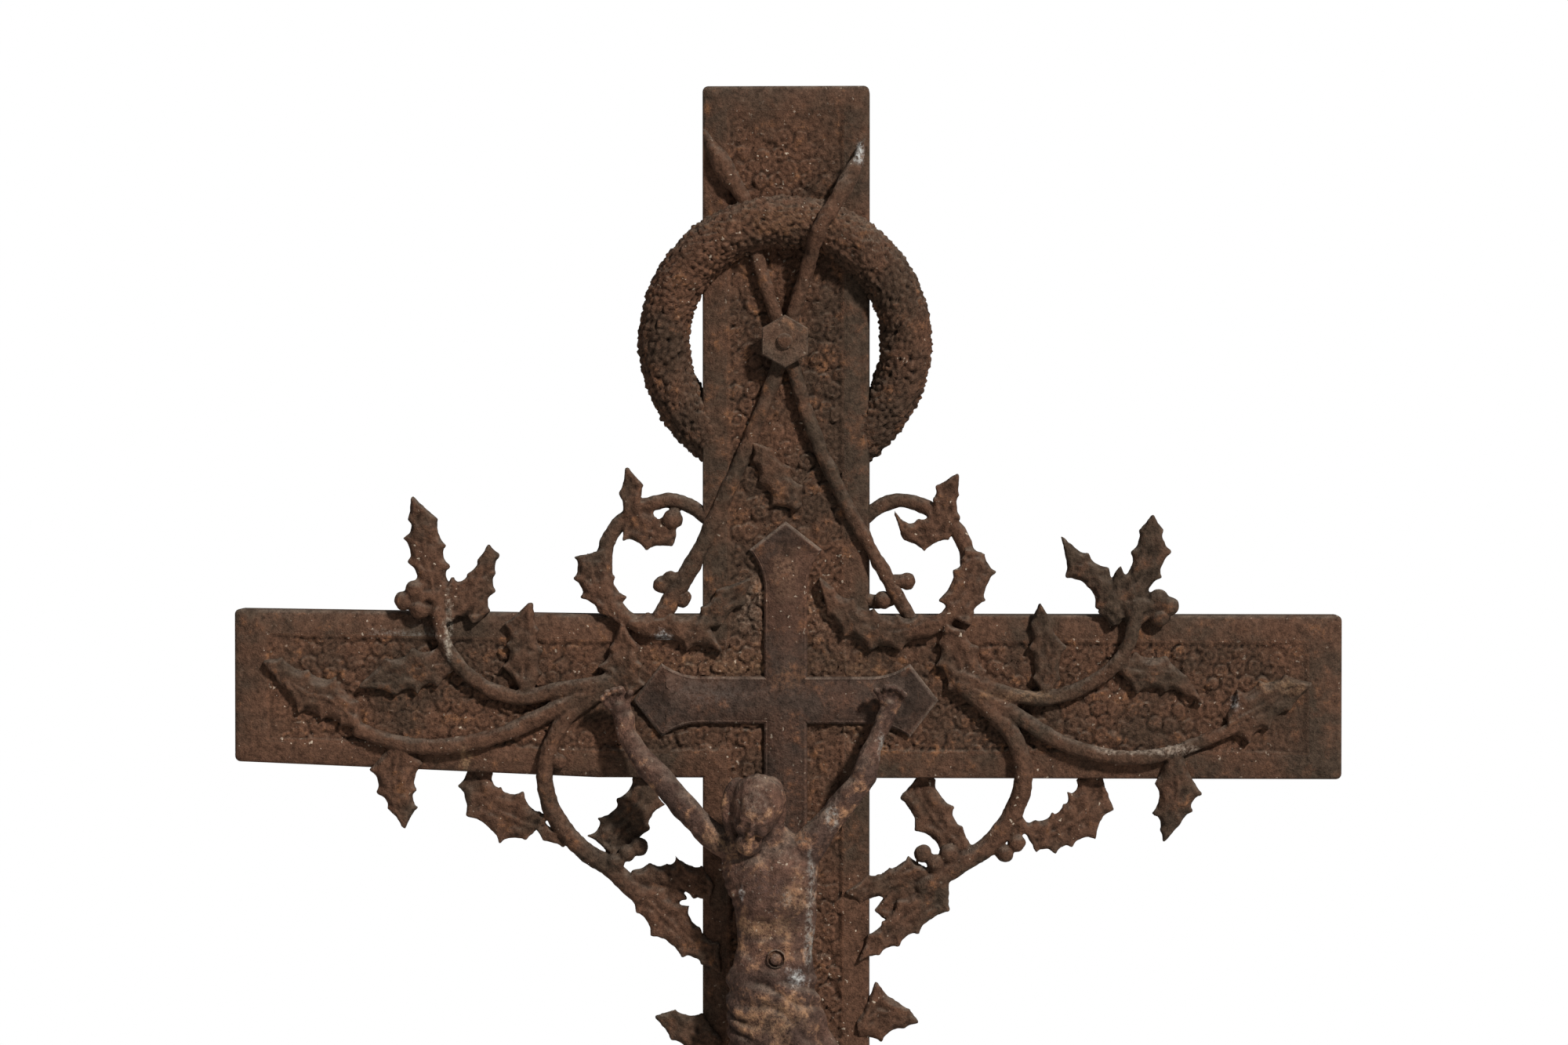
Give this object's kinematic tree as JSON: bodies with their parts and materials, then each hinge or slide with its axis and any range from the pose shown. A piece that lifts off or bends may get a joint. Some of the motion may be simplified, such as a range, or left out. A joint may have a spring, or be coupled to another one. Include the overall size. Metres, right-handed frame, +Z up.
{
  "type": "crucifix",
  "caption": "Rusted cast-iron standing crucifix with holly sprays, a crown of thorns, crossed lance and reed, and a bolted figure, on a low stepped plinth.",
  "frame": {"origin": "middle of the plinth's underside", "axes": "+Z up the shaft, -Y out of the front where the figure hangs, +X towards the viewer's right"},
  "size_m": [0.705, 0.18, 1.184],
  "materials": {
    "rusted_iron": "rough rusted casting",
    "figure_iron": "rough rusted casting with lichen",
    "hardware_iron": "rusted"
  },
  "bodies": {
    "root": {"cross": "rusted_iron", "corpus": "figure_iron", "corpus_bolt": "hardware_iron", "corpus_nut": "hardware_iron", "hexagonal_plate": "hardware_iron", "rivet": "hardware_iron", "plinth": "rusted_iron"}
  },
  "joints": []
}
